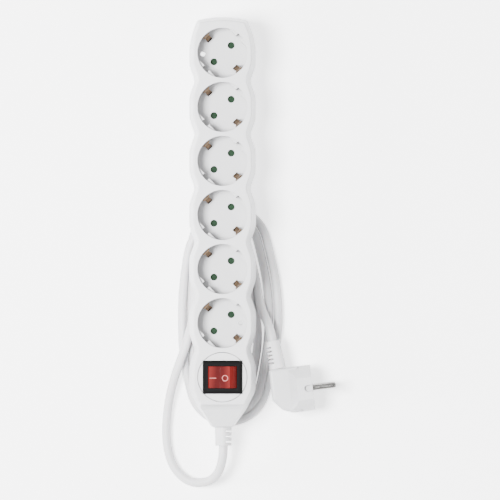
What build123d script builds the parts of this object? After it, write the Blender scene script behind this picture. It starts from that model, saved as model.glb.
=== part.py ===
from build123d import *
import math
import os

# Six-way switched power strip for round pin plugs, with its mains lead folded
# into a hank underneath it and an angled plug lying beside it.
# Millimetres. +Y runs towards the closed end, +Z out of the sockets, and the
# origin is the middle of the housing's box.

os.makedirs("parts", exist_ok=True)

# ---------------------------------------------------------------- driving sizes
BODY_HEIGHT = 40.0            # underside to socket face
ROCKER_RISE = 6.5             # highest point of the switch above the socket face
HALF_LENGTH = 164.75          # half of the housing's length
LOBE_HALF = 26.8              # half width at a socket
WAIST_HALF = 22.4             # half width between two sockets
LOBE_FLAT_HALF = 9.0          # straight stretch each side of a socket centre
PITCH = 43.15                 # socket to socket
FIRST_SOCKET_Y = 135.3
SOCKET_COUNT = 6
WALL = 2.0
FACE_PLATE = 2.5              # thickness of the cover's top
SHOULDER = 3.6                # how far the cover's side leans in

RECESS_R = 20.0
RECESS_DEPTH = 17.5
CUP_WALL = 1.2
CUP_FLOOR = 2.0
PIN_SPACING = 19.0
PIN_ANGLE = 43.5              # of the line through the pin holes, from +X
PIN_HOLE_R = 2.8
PIN_R = 2.4
PIN_LENGTH = 19.0
GUIDE_FLAT = 17.2             # guide flats' distance from the recess centre
GUIDE_NOTCH = 5.5
GUIDE_BELOW_RIM = 3.0
SCREW_HOLES = {0: (-15.8, 2.15), 5: (14.5, 1.95)}   # socket: (x offset, radius)

CORD_D = 7.2
CORD_R = CORD_D / 2

SIDE_EXTRA = 1.2              # how much thicker the cover's side is than a wall
FACE_INSET = 5.2              # the cavity's inset just under the socket face
ACROSS = 60.0                 # wider than the housing, for cuts across it
OVERCUT = 1.0                 # how far a cut runs past the face it opens
RUNNING_GAP = 0.05            # radial clearance of a turning fit

# ---------------------------------------------------------------- levels and places
Z_BASE = -(BODY_HEIGHT + ROCKER_RISE) / 2
Z_TOP = Z_BASE + BODY_HEIGHT
Z_SEAM = Z_BASE + 15.0
Z_FLOOR = Z_BASE + WALL
Z_PLATE = Z_TOP - FACE_PLATE
Z_RECESS = Z_TOP - RECESS_DEPTH
Z_CUP_UNDER = Z_RECESS - CUP_FLOOR
Z_SURFACE = Z_BASE - 2 * CORD_D          # what the part lies on
LAYER_LOW = Z_SURFACE + CORD_R
LAYER_HIGH = LAYER_LOW + CORD_D

SOCKET_Y = [FIRST_SOCKET_Y - PITCH * i for i in range(SOCKET_COUNT)]
SWITCH_Y = FIRST_SOCKET_Y - PITCH * SOCKET_COUNT
WAIST_Y = [FIRST_SOCKET_Y - PITCH * (i + 0.5) for i in range(SOCKET_COUNT)]
CUP_R = RECESS_R + CUP_WALL
PIN_X = PIN_SPACING / 2 * math.cos(math.radians(PIN_ANGLE))
PIN_Y = PIN_SPACING / 2 * math.sin(math.radians(PIN_ANGLE))
CASE_SCREW_X = 14.0
CASE_SCREWS = [(side * CASE_SCREW_X, WAIST_Y[i]) for i in (0, 2, 5) for side in (-1, 1)]


def save(builder, name):
    """Label a finished sub-part and write its STEP file."""
    builder.part.label = name
    export_step(builder.part, f"parts/{name}.step")


# ---------------------------------------------------------------- housing outline
def right_edge():
    """Corner points and radii of the housing's right side, closed end to nose."""
    points = [(0, HALF_LENGTH), (9, HALF_LENGTH), (20.6, 162.4), (25.2, 149.5), (LOBE_HALF, 139.0)]
    radii = [70, 5, 40, 30]
    for y in WAIST_Y:
        points.append((LOBE_HALF, y + PITCH / 2 - LOBE_FLAT_HALF))
        points.append((WAIST_HALF, y))
        points.append((LOBE_HALF, y - PITCH / 2 + LOBE_FLAT_HALF))
        radii += [22, 8, 22]
    points += [(LOBE_HALF, -134.5), (19.6, -149.0), (8.4, -HALF_LENGTH), (0, -HALF_LENGTH)]
    radii += [20, 20, 4.5]
    return points, radii


EDGE_POINTS, EDGE_RADII = right_edge()

with BuildSketch() as outline:
    with BuildLine():
        FilletPolyline(*EDGE_POINTS, radius=EDGE_RADII)
        mirror(about=Plane.YZ)
    make_face()

with BuildSketch() as floor_outline:
    add(outline.sketch)
    offset(amount=-WALL, mode=Mode.REPLACE)

with BuildSketch() as upper_outline:
    add(outline.sketch)
    offset(amount=-(WALL + SIDE_EXTRA), mode=Mode.REPLACE)

with BuildSketch() as face_outline:
    add(outline.sketch)
    offset(amount=-FACE_INSET, mode=Mode.REPLACE)

# ---------------------------------------------------------------- top cover
NOSE_STEP_Y = -145.5          # where the socket face ends above the nose
NOSE_TOP = Z_BASE + 29.5      # nose surface just below the step
NOSE_END_TOP = Z_BASE + 22.0  # nose surface at its tip
NOSE_STEP_RUN = 4.5
NOSE_STEP_R = 14.0
NOSE_CLEAR_LOW = 32.0         # solid length left at the nose, below and above
NOSE_CLEAR_HIGH = 44.0
NOSE_CAVITY_Y = -148.0        # the nose's own cavity runs from here
NOSE_CLEAR_END = 12.0
FACE_EDGE_R = 1.0
LOWER_CAVITY = 12.0
SCREW_BITE = 10.0
RELIEF_SEAT = 12.0
SCREW_SHANK_R = 1.45
BOSS_R = 3.0
RELIEF_Z = Z_BASE + 11.5
RELIEF_R = 7.0
RELIEF_X = 0.6

with BuildPart() as top_cover:
    with BuildSketch(Plane.XY.offset(Z_SEAM)):
        add(outline.sketch)
    with BuildSketch(Plane.XY.offset(Z_TOP)):
        add(outline.sketch)
        offset(amount=-SHOULDER, mode=Mode.REPLACE)
    loft(ruled=True)
    fillet(top_cover.faces().sort_by(Axis.Z)[-1].edges(), radius=FACE_EDGE_R)
    with BuildSketch(Plane.YZ):
        with BuildLine():
            step = RadiusArc((NOSE_STEP_Y, Z_TOP + OVERCUT), (NOSE_STEP_Y - NOSE_STEP_RUN, NOSE_TOP), NOSE_STEP_R)
            nose_tip = (-HALF_LENGTH - 3 * OVERCUT, NOSE_END_TOP - OVERCUT)
            Polyline(step @ 1, nose_tip, (nose_tip[0], Z_TOP + OVERCUT), step @ 0)
        make_face()
    extrude(amount=ACROSS, both=True, mode=Mode.SUBTRACT)
    with BuildSketch(Plane.XY.offset(Z_SEAM)):
        add(upper_outline.sketch)
        with Locations((0, -HALF_LENGTH)):
            Rectangle(ACROSS, NOSE_CLEAR_LOW, mode=Mode.SUBTRACT)
    extrude(amount=LOWER_CAVITY, mode=Mode.SUBTRACT)
    with BuildSketch(Plane.XY.offset(Z_SEAM)):
        add(face_outline.sketch)
        with Locations((0, -HALF_LENGTH)):
            Rectangle(ACROSS, NOSE_CLEAR_HIGH, mode=Mode.SUBTRACT)
    extrude(amount=Z_PLATE - Z_SEAM, mode=Mode.SUBTRACT)
    with BuildSketch(Plane.XY.offset(Z_SEAM)):
        add(face_outline.sketch)
        with Locations((0, NOSE_CAVITY_Y + 1.5 * HALF_LENGTH)):
            Rectangle(ACROSS, 3 * HALF_LENGTH, mode=Mode.SUBTRACT)
        with Locations((0, -HALF_LENGTH)):
            Rectangle(ACROSS, NOSE_CLEAR_END, mode=Mode.SUBTRACT)
    extrude(amount=NOSE_END_TOP - Z_SEAM, mode=Mode.SUBTRACT)
    with BuildSketch(Plane.XY.offset(Z_PLATE)):
        with Locations(*[(0, y) for y in SOCKET_Y + [SWITCH_Y]]):
            Circle(RECESS_R)
    extrude(amount=FACE_PLATE, mode=Mode.SUBTRACT)
    with BuildSketch(Plane.XY.offset(Z_SEAM)):
        with Locations(*CASE_SCREWS):
            Circle(BOSS_R)
    extrude(amount=Z_PLATE - Z_SEAM)
    with BuildSketch(Plane.XY.offset(Z_SEAM)):
        with Locations(*CASE_SCREWS):
            Circle(SCREW_SHANK_R)
    extrude(amount=SCREW_BITE, mode=Mode.SUBTRACT)
    with BuildSketch(Plane.XZ.offset(HALF_LENGTH - RELIEF_SEAT)):
        with Locations((RELIEF_X, RELIEF_Z)):
            Circle(RELIEF_R)
    extrude(amount=RELIEF_SEAT + 2 * OVERCUT, mode=Mode.SUBTRACT)
save(top_cover, "top_cover")

# ---------------------------------------------------------------- base shell
SCREW_HEAD_R = 2.8
SCREW_HEAD_DEPTH = 3.0
POST_R = 4.0
EARTH_BAR_Z = Z_BASE + 11.4
EARTH_BAR_T = 0.8
CLAMP_Y = -147.5
CLAMP_SCREW_X = 8.0
CLAMP_POST_R = 2.6
CLAMP_BAR_Z = RELIEF_Z + CORD_R
CLAMP_SADDLE = (7.0, 5.0)
CLAMP_PILOT_R = 1.2
CLAMP_PILOT_DEPTH = 9.0
EARTH_POST_R = 2.0
BASE_EDGE_R = 1.4
SHANK_GAP = 0.1
HEAD_GAP = 0.2

with BuildPart() as base_shell:
    with BuildSketch(Plane.XY.offset(Z_BASE)):
        add(outline.sketch)
    extrude(amount=Z_SEAM - Z_BASE)
    fillet(base_shell.faces().sort_by(Axis.Z)[0].edges(), radius=BASE_EDGE_R)
    with BuildSketch(Plane.XY.offset(Z_FLOOR)):
        add(floor_outline.sketch)
    extrude(amount=Z_SEAM - Z_FLOOR, mode=Mode.SUBTRACT)
    with BuildSketch(Plane.XY.offset(Z_FLOOR)):
        with Locations(*CASE_SCREWS):
            Circle(POST_R)
    extrude(amount=Z_SEAM - Z_FLOOR)
    with BuildSketch(Plane.XY.offset(Z_FLOOR)):
        with Locations(*[(x, SOCKET_Y[i]) for i, (x, r) in SCREW_HOLES.items()]):
            Circle(POST_R)
    extrude(amount=Z_CUP_UNDER - Z_FLOOR)
    with BuildSketch(Plane.XY.offset(Z_FLOOR)):
        with Locations(*[(0, y) for y in WAIST_Y[:5]]):
            Circle(EARTH_POST_R)
    extrude(amount=EARTH_BAR_Z - Z_FLOOR)
    with BuildSketch(Plane.XY.offset(Z_FLOOR)):
        with Locations((-CLAMP_SCREW_X, CLAMP_Y), (CLAMP_SCREW_X, CLAMP_Y)):
            Circle(CLAMP_POST_R)
    extrude(amount=CLAMP_BAR_Z - Z_FLOOR)
    with BuildSketch(Plane.XY.offset(Z_FLOOR)):
        with Locations((0, CLAMP_Y)):
            Rectangle(*CLAMP_SADDLE)
    extrude(amount=RELIEF_Z - CORD_R - Z_FLOOR)
    with BuildSketch(Plane.XY.offset(Z_BASE)):
        with Locations(*CASE_SCREWS):
            Circle(SCREW_SHANK_R + SHANK_GAP)
    extrude(amount=Z_SEAM - Z_BASE, mode=Mode.SUBTRACT)
    with BuildSketch(Plane.XY.offset(Z_BASE)):
        with Locations(*CASE_SCREWS):
            Circle(SCREW_HEAD_R + HEAD_GAP)
    extrude(amount=SCREW_HEAD_DEPTH, mode=Mode.SUBTRACT)
    for i, (x, r) in SCREW_HOLES.items():
        with BuildSketch(Plane.XY.offset(Z_BASE)):
            with Locations((x, SOCKET_Y[i])):
                Circle(r)
        extrude(amount=Z_CUP_UNDER - Z_BASE, mode=Mode.SUBTRACT)
    with BuildSketch(Plane.XY.offset(CLAMP_BAR_Z)):
        with Locations((-CLAMP_SCREW_X, CLAMP_Y), (CLAMP_SCREW_X, CLAMP_Y)):
            Circle(CLAMP_PILOT_R)
    extrude(amount=-CLAMP_PILOT_DEPTH, mode=Mode.SUBTRACT)
    with BuildSketch(Plane.XZ.offset(HALF_LENGTH - RELIEF_SEAT)):
        with Locations((RELIEF_X, RELIEF_Z)):
            Circle(RELIEF_R)
    extrude(amount=RELIEF_SEAT + 2 * OVERCUT, mode=Mode.SUBTRACT)
save(base_shell, "base_shell")

# ---------------------------------------------------------------- socket cups
CLIP_SLOT_IN = 14.2
CLIP_SLOT_OUT = 16.6
CLIP_SLOT_W = 4.8
CLIP_SLOT_MID = (CLIP_SLOT_IN + CLIP_SLOT_OUT) / 2
CLIP_HEAD_W = 6.3
CLIP_NOTCH_W = 7.1
CLIP_NOTCH_RISE = 6.0         # the notch starts this far above the recess floor
PIVOT_R = 1.45
PIVOT_BOTTOM = Z_CUP_UNDER - 5.2


def socket_plane(y, turn, height):
    """Horizontal plane on a socket's axis, its x axis turned from +X by turn degrees."""
    return Plane.XY.offset(height).move(Location((0, y, 0), (0, 0, turn)))


for index, y in enumerate(SOCKET_Y):
    with BuildPart() as socket_cup:
        with BuildSketch(socket_plane(y, PIN_ANGLE, Z_CUP_UNDER)):
            Circle(CUP_R)
        extrude(amount=Z_PLATE - Z_CUP_UNDER)
        with BuildSketch(socket_plane(y, PIN_ANGLE, Z_RECESS)):
            Rectangle(2 * GUIDE_FLAT, 2 * RECESS_R)
            Rectangle(2 * RECESS_R, GUIDE_NOTCH)
            Circle(RECESS_R, mode=Mode.INTERSECT)
        extrude(amount=RECESS_DEPTH - GUIDE_BELOW_RIM, mode=Mode.SUBTRACT)
        with BuildSketch(socket_plane(y, PIN_ANGLE, Z_TOP - GUIDE_BELOW_RIM)):
            Circle(RECESS_R)
        extrude(amount=GUIDE_BELOW_RIM, mode=Mode.SUBTRACT)
        with BuildSketch(socket_plane(y, PIN_ANGLE, Z_CUP_UNDER)):
            with Locations((-PIN_SPACING / 2, 0), (PIN_SPACING / 2, 0)):
                Circle(PIN_HOLE_R)
            with Locations((0, CLIP_SLOT_MID), (0, -CLIP_SLOT_MID)):
                Rectangle(CLIP_SLOT_W, CLIP_SLOT_OUT - CLIP_SLOT_IN)
        extrude(amount=CUP_FLOOR, mode=Mode.SUBTRACT)
        with BuildSketch(socket_plane(y, PIN_ANGLE, Z_RECESS + CLIP_NOTCH_RISE)):
            Rectangle(CLIP_NOTCH_W, 2 * CUP_R + OVERCUT)
            Rectangle(CLIP_NOTCH_W, 2 * (RECESS_R - OVERCUT), mode=Mode.SUBTRACT)
        extrude(amount=Z_PLATE - Z_RECESS - CLIP_NOTCH_RISE, mode=Mode.SUBTRACT)
        with BuildSketch(Plane.XY.offset(Z_CUP_UNDER)):
            with Locations((0, y)):
                Circle(PIVOT_R)
        extrude(amount=PIVOT_BOTTOM - Z_CUP_UNDER)
        if index in SCREW_HOLES:
            hole_x, hole_r = SCREW_HOLES[index]
            with BuildSketch(Plane.XY.offset(Z_CUP_UNDER)):
                with Locations((hole_x, y)):
                    Circle(hole_r)
            extrude(amount=CUP_FLOOR, mode=Mode.SUBTRACT)
    save(socket_cup, f"socket_cup_{index + 1}")

# ---------------------------------------------------------------- shutters under the pin holes
SHUTTER_GAP = 0.3
SHUTTER_T = 2.0
BLADE_R = 3.7
SHUTTER_ARM_W = 4.6
SHUTTER_HUB_R = 4.0
Z_SHUTTER = Z_CUP_UNDER - SHUTTER_GAP - SHUTTER_T

for index, y in enumerate(SOCKET_Y):
    with BuildPart() as shutter:
        with BuildSketch(socket_plane(y, PIN_ANGLE, Z_SHUTTER)):
            with Locations((-PIN_SPACING / 2, 0), (PIN_SPACING / 2, 0)):
                Circle(BLADE_R)
            Rectangle(PIN_SPACING, SHUTTER_ARM_W)
            Circle(SHUTTER_HUB_R)
            Circle(PIVOT_R + RUNNING_GAP, mode=Mode.SUBTRACT)
        extrude(amount=SHUTTER_T)
    save(shutter, f"shutter_{index + 1}")

SPRING_TOP = Z_SHUTTER - 0.2
SPRING_WIRE_R = 0.25
SPRING_TURNS = 2
SPRING_PITCH = 0.6
SPRING_R = 2.2
SPRING_ARC = 340
RING_R = 3.2
RING_T = 0.8
with BuildPart() as shutter_springs:
    for y in SOCKET_Y:
        for turn in range(SPRING_TURNS):
            with BuildSketch(Plane.XZ.offset(-y)):
                with Locations((SPRING_R, SPRING_TOP - SPRING_WIRE_R - SPRING_PITCH * turn)):
                    Circle(SPRING_WIRE_R)
            revolve(axis=Axis((0, y, 0), (0, 0, 1)), revolution_arc=SPRING_ARC)
save(shutter_springs, "shutter_springs")

with BuildPart() as shutter_clips:
    with BuildSketch(Plane.XY.offset(PIVOT_BOTTOM)):
        with Locations(*[(0, y) for y in SOCKET_Y]):
            Circle(RING_R)
            Circle(PIVOT_R, mode=Mode.SUBTRACT)
    extrude(amount=RING_T)
save(shutter_clips, "shutter_clips")

# ---------------------------------------------------------------- live, neutral and earth metalwork
BAR_W = 6.0
BAR_T = 0.8
LEAF_T = 0.6
LEAF_W = 6.0
LEAF_HEIGHT = 13.2
BAR_OVERRUN = 5.0
EARTH_BAR_W = 5.0
EARTH_OVERRUN = 6.0


def contact_bar(side, name):
    """Stamped bar with a pair of spring leaves round each socket's pin."""
    pin_ys = [y + side * PIN_Y for y in SOCKET_Y]
    length = pin_ys[0] - pin_ys[-1] + 2 * BAR_OVERRUN
    leaf_x = PIN_R + LEAF_T / 2
    with BuildPart() as bar:
        with BuildSketch(Plane.XY.offset(Z_FLOOR)):
            with Locations((side * PIN_X, (pin_ys[0] + pin_ys[-1]) / 2)):
                Rectangle(BAR_W, length)
        extrude(amount=BAR_T)
        with BuildSketch(Plane.XY.offset(Z_FLOOR + BAR_T)):
            for pin_y in pin_ys:
                with Locations((side * PIN_X - leaf_x, pin_y), (side * PIN_X + leaf_x, pin_y)):
                    Rectangle(LEAF_T, LEAF_W)
        extrude(amount=LEAF_HEIGHT)
    save(bar, name)
    return pin_ys[-1] - BAR_OVERRUN


LIVE_END_Y = contact_bar(1, "live_busbar")
NEUTRAL_END_Y = contact_bar(-1, "neutral_busbar")
EARTH_START_Y = SOCKET_Y[0] + EARTH_OVERRUN
EARTH_END_Y = SOCKET_Y[-1] - EARTH_OVERRUN

with BuildPart() as earth_busbar:
    with BuildSketch(Plane.XY.offset(EARTH_BAR_Z)):
        with Locations((0, (EARTH_START_Y + EARTH_END_Y) / 2)):
            Rectangle(EARTH_BAR_W, EARTH_START_Y - EARTH_END_Y)
    extrude(amount=EARTH_BAR_T)
save(earth_busbar, "earth_busbar")

CLIP_T = 0.8
CLIP_W = 4.2
CLIP_ARM_X = 15.5
CLIP_BEND = (15.7, Z_RECESS + 7.0)
CLIP_HEAD_LOW = (18.4, Z_RECESS + 11.6)
CLIP_HEAD_HIGH = (18.9, Z_RECESS + 13.6)
ARM_Z = EARTH_BAR_Z + EARTH_BAR_T + CLIP_T / 2
for index, y in enumerate(SOCKET_Y):
    clip_plane = Plane(origin=(0, y, 0), x_dir=(-PIN_Y, PIN_X, 0), z_dir=(PIN_X, PIN_Y, 0))
    with BuildPart() as earth_clip:
        with BuildSketch(clip_plane):
            with BuildLine():
                half = [CLIP_HEAD_HIGH, CLIP_HEAD_LOW, CLIP_BEND, (CLIP_ARM_X, ARM_Z)]
                Polyline(*[(-x, z) for x, z in half], *reversed(half))
            trace(line_width=CLIP_T)
        extrude(amount=CLIP_W / 2, both=True)
        with BuildSketch(clip_plane):
            for side in (-1, 1):
                with BuildLine():
                    Polyline((side * CLIP_HEAD_HIGH[0], CLIP_HEAD_HIGH[1]), (side * CLIP_HEAD_LOW[0], CLIP_HEAD_LOW[1]))
                trace(line_width=CLIP_T)
        extrude(amount=CLIP_HEAD_W / 2, both=True)
    save(earth_clip, f"earth_clip_{index + 1}")

# ---------------------------------------------------------------- switch
PLATE_GAP = 0.5
FLANGE_T = 1.6
BEZEL_EDGE_R = 0.5
BLADE_SLOT_DEPTH = 4.0
FLANGE_FLAT = 18.8            # flats of the plate's hidden flange, beside the nose
BEZEL_X = 31.6
BEZEL_Y = 26.6
BEZEL_T = 1.5
CASE_X = 29.6
CASE_Y = 22.2
CASE_DEPTH = 20.0
PIVOT_DEPTH = 6.5             # rocker axis below the bezel's top
ROCKER_R = 12.95              # rocker's curved ends, about its axis
ROCKER_GAP = 0.3
ROCKER_HALF_Y = 8.7
ROCKER_TILT = 14.0
ROCKER_SPREAD = 41.4          # from the rocker's middle to each top edge
TRUNNION_R = 1.8
TRUNNION_L = 1.3
Z_BEZEL = Z_TOP + BEZEL_T
Z_PIVOT = Z_BEZEL - PIVOT_DEPTH
Z_CASE = Z_TOP - CASE_DEPTH
PIVOT_PLANE = Plane(origin=(0, SWITCH_Y, Z_PIVOT), x_dir=(1, 0, 0), z_dir=(0, -1, 0))
TILT = math.radians(ROCKER_TILT)
ROCKER_PLANE = Plane(
    origin=(0, SWITCH_Y, Z_PIVOT), x_dir=(math.cos(TILT), 0, math.sin(TILT)), z_dir=(0, -1, 0)
)

with BuildPart() as switch_plate:
    with BuildSketch(Plane.XY.offset(Z_PLATE - FLANGE_T)):
        with Locations((0, SWITCH_Y)):
            Circle(CUP_R)
            Rectangle(3 * CUP_R, 2 * FLANGE_FLAT, mode=Mode.INTERSECT)
    extrude(amount=FLANGE_T)
    with BuildSketch(Plane.XY.offset(Z_PLATE)):
        with Locations((0, SWITCH_Y)):
            Circle(RECESS_R - PLATE_GAP)
    extrude(amount=FACE_PLATE)
    with BuildSketch(Plane.XY.offset(Z_PLATE - FLANGE_T)):
        with Locations((0, SWITCH_Y)):
            Rectangle(CASE_X, CASE_Y)
    extrude(amount=FACE_PLATE + FLANGE_T, mode=Mode.SUBTRACT)
save(switch_plate, "switch_plate")

BLADE_X = (0.0, 7.0)
BLADE_Y = 4.6
BLADE_W = 4.8
BLADE_T = 0.8
BLADE_SPOTS = [(x, SWITCH_Y + side * BLADE_Y) for x in BLADE_X for side in (-1, 1)]

with BuildPart() as switch_housing:
    with BuildSketch(Plane.XY.offset(Z_CASE)):
        with Locations((0, SWITCH_Y)):
            Rectangle(CASE_X, CASE_Y)
    extrude(amount=CASE_DEPTH)
    with BuildSketch(Plane.XY.offset(Z_TOP)):
        with Locations((0, SWITCH_Y)):
            Rectangle(BEZEL_X, BEZEL_Y)
    extrude(amount=BEZEL_T)
    fillet(switch_housing.faces().sort_by(Axis.Z)[-1].edges(), radius=BEZEL_EDGE_R)
    with BuildSketch(PIVOT_PLANE):
        Circle(ROCKER_R + ROCKER_GAP)
    extrude(amount=ROCKER_HALF_Y + ROCKER_GAP, both=True, mode=Mode.SUBTRACT)
    with BuildSketch(PIVOT_PLANE):
        Circle(TRUNNION_R + RUNNING_GAP)
    extrude(amount=ROCKER_HALF_Y + ROCKER_GAP + TRUNNION_L, both=True, mode=Mode.SUBTRACT)
    with BuildSketch(Plane.XY.offset(Z_CASE)):
        with Locations(*BLADE_SPOTS):
            Rectangle(BLADE_T, BLADE_W)
    extrude(amount=BLADE_SLOT_DEPTH, mode=Mode.SUBTRACT)
save(switch_housing, "switch_housing")

TOP_EDGE = (ROCKER_R * math.sin(math.radians(ROCKER_SPREAD)), ROCKER_R * math.cos(math.radians(ROCKER_SPREAD)))
VALLEY = (TOP_EDGE[1] * math.cos(TILT) - TOP_EDGE[0] * math.sin(TILT)) / math.cos(TILT)
KEEL_LENGTH = 6.8
KEEL_ROOT = 2.6               # how far the keel reaches up into the rocker
KEEL_T = 2.4
ROCKER_CAVITY = (19.0, 6.0)
ROCKER_CAVITY_RISE = 2.0
ROCKER_END_WALL = 1.6
TRUNNION_END_GAP = 0.2

with BuildPart() as switch_rocker:
    with BuildSketch(ROCKER_PLANE):
        with BuildLine():
            right = RadiusArc(TOP_EDGE, (ROCKER_R, 0), ROCKER_R)
            left = RadiusArc((-ROCKER_R, 0), (-TOP_EDGE[0], TOP_EDGE[1]), ROCKER_R)
            Line(right @ 1, left @ 0)
            Polyline(left @ 1, (0, VALLEY), right @ 0)
        make_face()
    extrude(amount=ROCKER_HALF_Y, both=True)
    with BuildSketch(ROCKER_PLANE):
        with Locations((0, ROCKER_CAVITY_RISE)):
            Rectangle(*ROCKER_CAVITY)
    extrude(amount=ROCKER_HALF_Y - ROCKER_END_WALL, both=True, mode=Mode.SUBTRACT)
    with BuildSketch(ROCKER_PLANE):
        Circle(TRUNNION_R)
    extrude(amount=ROCKER_HALF_Y + TRUNNION_L - TRUNNION_END_GAP, both=True)
    with BuildSketch(ROCKER_PLANE):
        with Locations((0, KEEL_ROOT - KEEL_LENGTH / 2)):
            Rectangle(KEEL_T, KEEL_LENGTH + 2 * KEEL_ROOT)
    extrude(amount=ROCKER_HALF_Y - KEEL_T, both=True)
save(switch_rocker, "switch_rocker")

LAMP_SPOT = (-5.0, 3.4)
LAMP_R = 1.6
LAMP_HALF = 5.0
LAMP_END_R = 1.2
with BuildPart() as neon_lamp:
    with BuildSketch(ROCKER_PLANE):
        with Locations(LAMP_SPOT):
            Circle(LAMP_R)
    extrude(amount=LAMP_HALF, both=True)
    fillet(neon_lamp.edges(), radius=LAMP_END_R)
save(neon_lamp, "neon_lamp")

BRIDGE_TILT = 8.0
BRIDGE_HALF = 8.2
BRIDGE_T = 0.8
BRIDGE_HALF_W = 1.8
KEEL_GAP = 0.9
BRIDGE_TOP = Z_PIVOT - KEEL_LENGTH - KEEL_GAP
BRIDGE_LEAN = math.radians(BRIDGE_TILT)
BRIDGE_PLANE = Plane(
    origin=(0, SWITCH_Y, BRIDGE_TOP - BRIDGE_T / 2),
    x_dir=(math.cos(BRIDGE_LEAN), 0, -math.sin(BRIDGE_LEAN)), z_dir=(0, -1, 0),
)
with BuildPart() as contact_bridges:
    for side in (-1, 1):
        with BuildSketch(BRIDGE_PLANE.offset(side * BLADE_Y)):
            Rectangle(2 * BRIDGE_HALF, BRIDGE_T)
        extrude(amount=BRIDGE_HALF_W, both=True)
save(contact_bridges, "contact_bridges")

BLADE_DROP = 9.0
PAD_TOP = {0.0: BRIDGE_TOP - BRIDGE_T - 0.35, 7.0: BRIDGE_TOP - BRIDGE_T - 1.5}
with BuildPart() as switch_terminals:
    for x, y in BLADE_SPOTS:
        with BuildSketch(Plane.XY.offset(Z_CASE - BLADE_DROP)):
            with Locations((x, y)):
                Rectangle(BLADE_T, BLADE_W)
        extrude(amount=PAD_TOP[x] - Z_CASE + BLADE_DROP)
save(switch_terminals, "switch_terminals")

RECEPTACLE = (2.6, 6.2)
RECEPTACLE_H = 6.5
Z_RECEPTACLE = Z_CASE - BLADE_DROP - 0.6
with BuildPart() as wire_terminals:
    with BuildSketch(Plane.XY.offset(Z_RECEPTACLE)):
        with Locations(*BLADE_SPOTS):
            Rectangle(*RECEPTACLE)
    extrude(amount=RECEPTACLE_H)
    with BuildSketch(Plane.XY.offset(Z_CASE - BLADE_DROP)):
        with Locations(*BLADE_SPOTS):
            Rectangle(BLADE_T, BLADE_W)
    extrude(amount=RECEPTACLE_H, mode=Mode.SUBTRACT)
save(wire_terminals, "wire_terminals")

# ---------------------------------------------------------------- wires inside the housing
WIRE_R = 1.1
WIRE_Z = Z_FLOOR + WIRE_R + 0.3
CORE_Y = -141.0               # where the sheath ends and the cores spread
LIVE_IN = BLADE_SPOTS[0]
NEUTRAL_IN = BLADE_SPOTS[1]
LIVE_OUT = BLADE_SPOTS[2]
NEUTRAL_OUT = BLADE_SPOTS[3]
BAR_MID_Z = Z_FLOOR + BAR_T / 2


def wire(name, points, bend):
    """Insulated core along straight runs joined by arcs of one radius."""
    with BuildPart() as core:
        with BuildLine() as path:
            FilletPolyline(*points, radius=bend)
        with BuildSketch(Plane(origin=path.line @ 0, z_dir=path.line % 0)):
            Circle(WIRE_R)
        sweep()
    save(core, name)


wire("wire_live_in", [
    (0, CORE_Y, RELIEF_Z + 2.3), (0, CORE_Y + 5, RELIEF_Z + 2.3), (0, LIVE_IN[1] - 4, WIRE_Z),
    (0, LIVE_IN[1], WIRE_Z), (0, LIVE_IN[1], Z_RECEPTACLE),
], 1.6)
wire("wire_neutral_in", [
    (2.2, CORE_Y, RELIEF_Z), (2.2, CORE_Y + 5, RELIEF_Z), (3.6, LIVE_IN[1], WIRE_Z),
    (3.4, NEUTRAL_IN[1], WIRE_Z), (0, NEUTRAL_IN[1], WIRE_Z), (0, NEUTRAL_IN[1], Z_RECEPTACLE),
], 1.4)
wire("wire_live_out", [
    (LIVE_OUT[0], LIVE_OUT[1], Z_RECEPTACLE), (LIVE_OUT[0], LIVE_OUT[1], WIRE_Z),
    (9.8, LIVE_OUT[1] + 4, WIRE_Z), (9.8, LIVE_OUT[1] + 14, WIRE_Z),
    (PIN_X, LIVE_END_Y - 22, BAR_MID_Z + 0.8), (PIN_X, LIVE_END_Y, BAR_MID_Z + 0.8),
], 1.6)
wire("wire_neutral_out", [
    (NEUTRAL_OUT[0], NEUTRAL_OUT[1], Z_RECEPTACLE), (NEUTRAL_OUT[0], NEUTRAL_OUT[1], WIRE_Z),
    (NEUTRAL_OUT[0], NEUTRAL_OUT[1] + 7, WIRE_Z), (-PIN_X, NEUTRAL_END_Y - 8, WIRE_Z),
    (-PIN_X, NEUTRAL_END_Y, BAR_MID_Z + 0.8),
], 1.6)
wire("wire_earth", [
    (-2.2, CORE_Y, RELIEF_Z), (-2.2, CORE_Y + 3.5, RELIEF_Z), (-9.5, CORE_Y + 12, WIRE_Z + 1),
    (-9.5, NEUTRAL_END_Y - 18, WIRE_Z + 1), (0, EARTH_END_Y - 15, EARTH_BAR_Z + 0.4),
    (0, EARTH_END_Y, EARTH_BAR_Z + 0.4),
], 1.6)

# ---------------------------------------------------------------- cord entry
RELIEF_IN_Y = -HALF_LENGTH + 5.0
RELIEF_OUT_Y = -HALF_LENGTH - 14.5
CLAMP_BAR_W = 6.0
CLAMP_BAR_T = 3.0
CLAMP_HOLE_R = 1.4

with BuildPart() as cord_sheath:
    with BuildSketch(Plane.XZ.offset(-CORE_Y)):
        with Locations((RELIEF_X, RELIEF_Z)):
            Circle(CORD_R)
    extrude(amount=CORE_Y - RELIEF_IN_Y)
save(cord_sheath, "cord_sheath")

with BuildPart() as cord_clamp:
    with BuildSketch(Plane.XY.offset(CLAMP_BAR_Z)):
        with Locations((0, CLAMP_Y)):
            SlotOverall(2 * CLAMP_SCREW_X + CLAMP_BAR_W, CLAMP_BAR_W)
        with Locations((-CLAMP_SCREW_X, CLAMP_Y), (CLAMP_SCREW_X, CLAMP_Y)):
            Circle(CLAMP_HOLE_R, mode=Mode.SUBTRACT)
    extrude(amount=CLAMP_BAR_T)
save(cord_clamp, "cord_clamp")


SCREW_SLOT_W = 0.7


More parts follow.
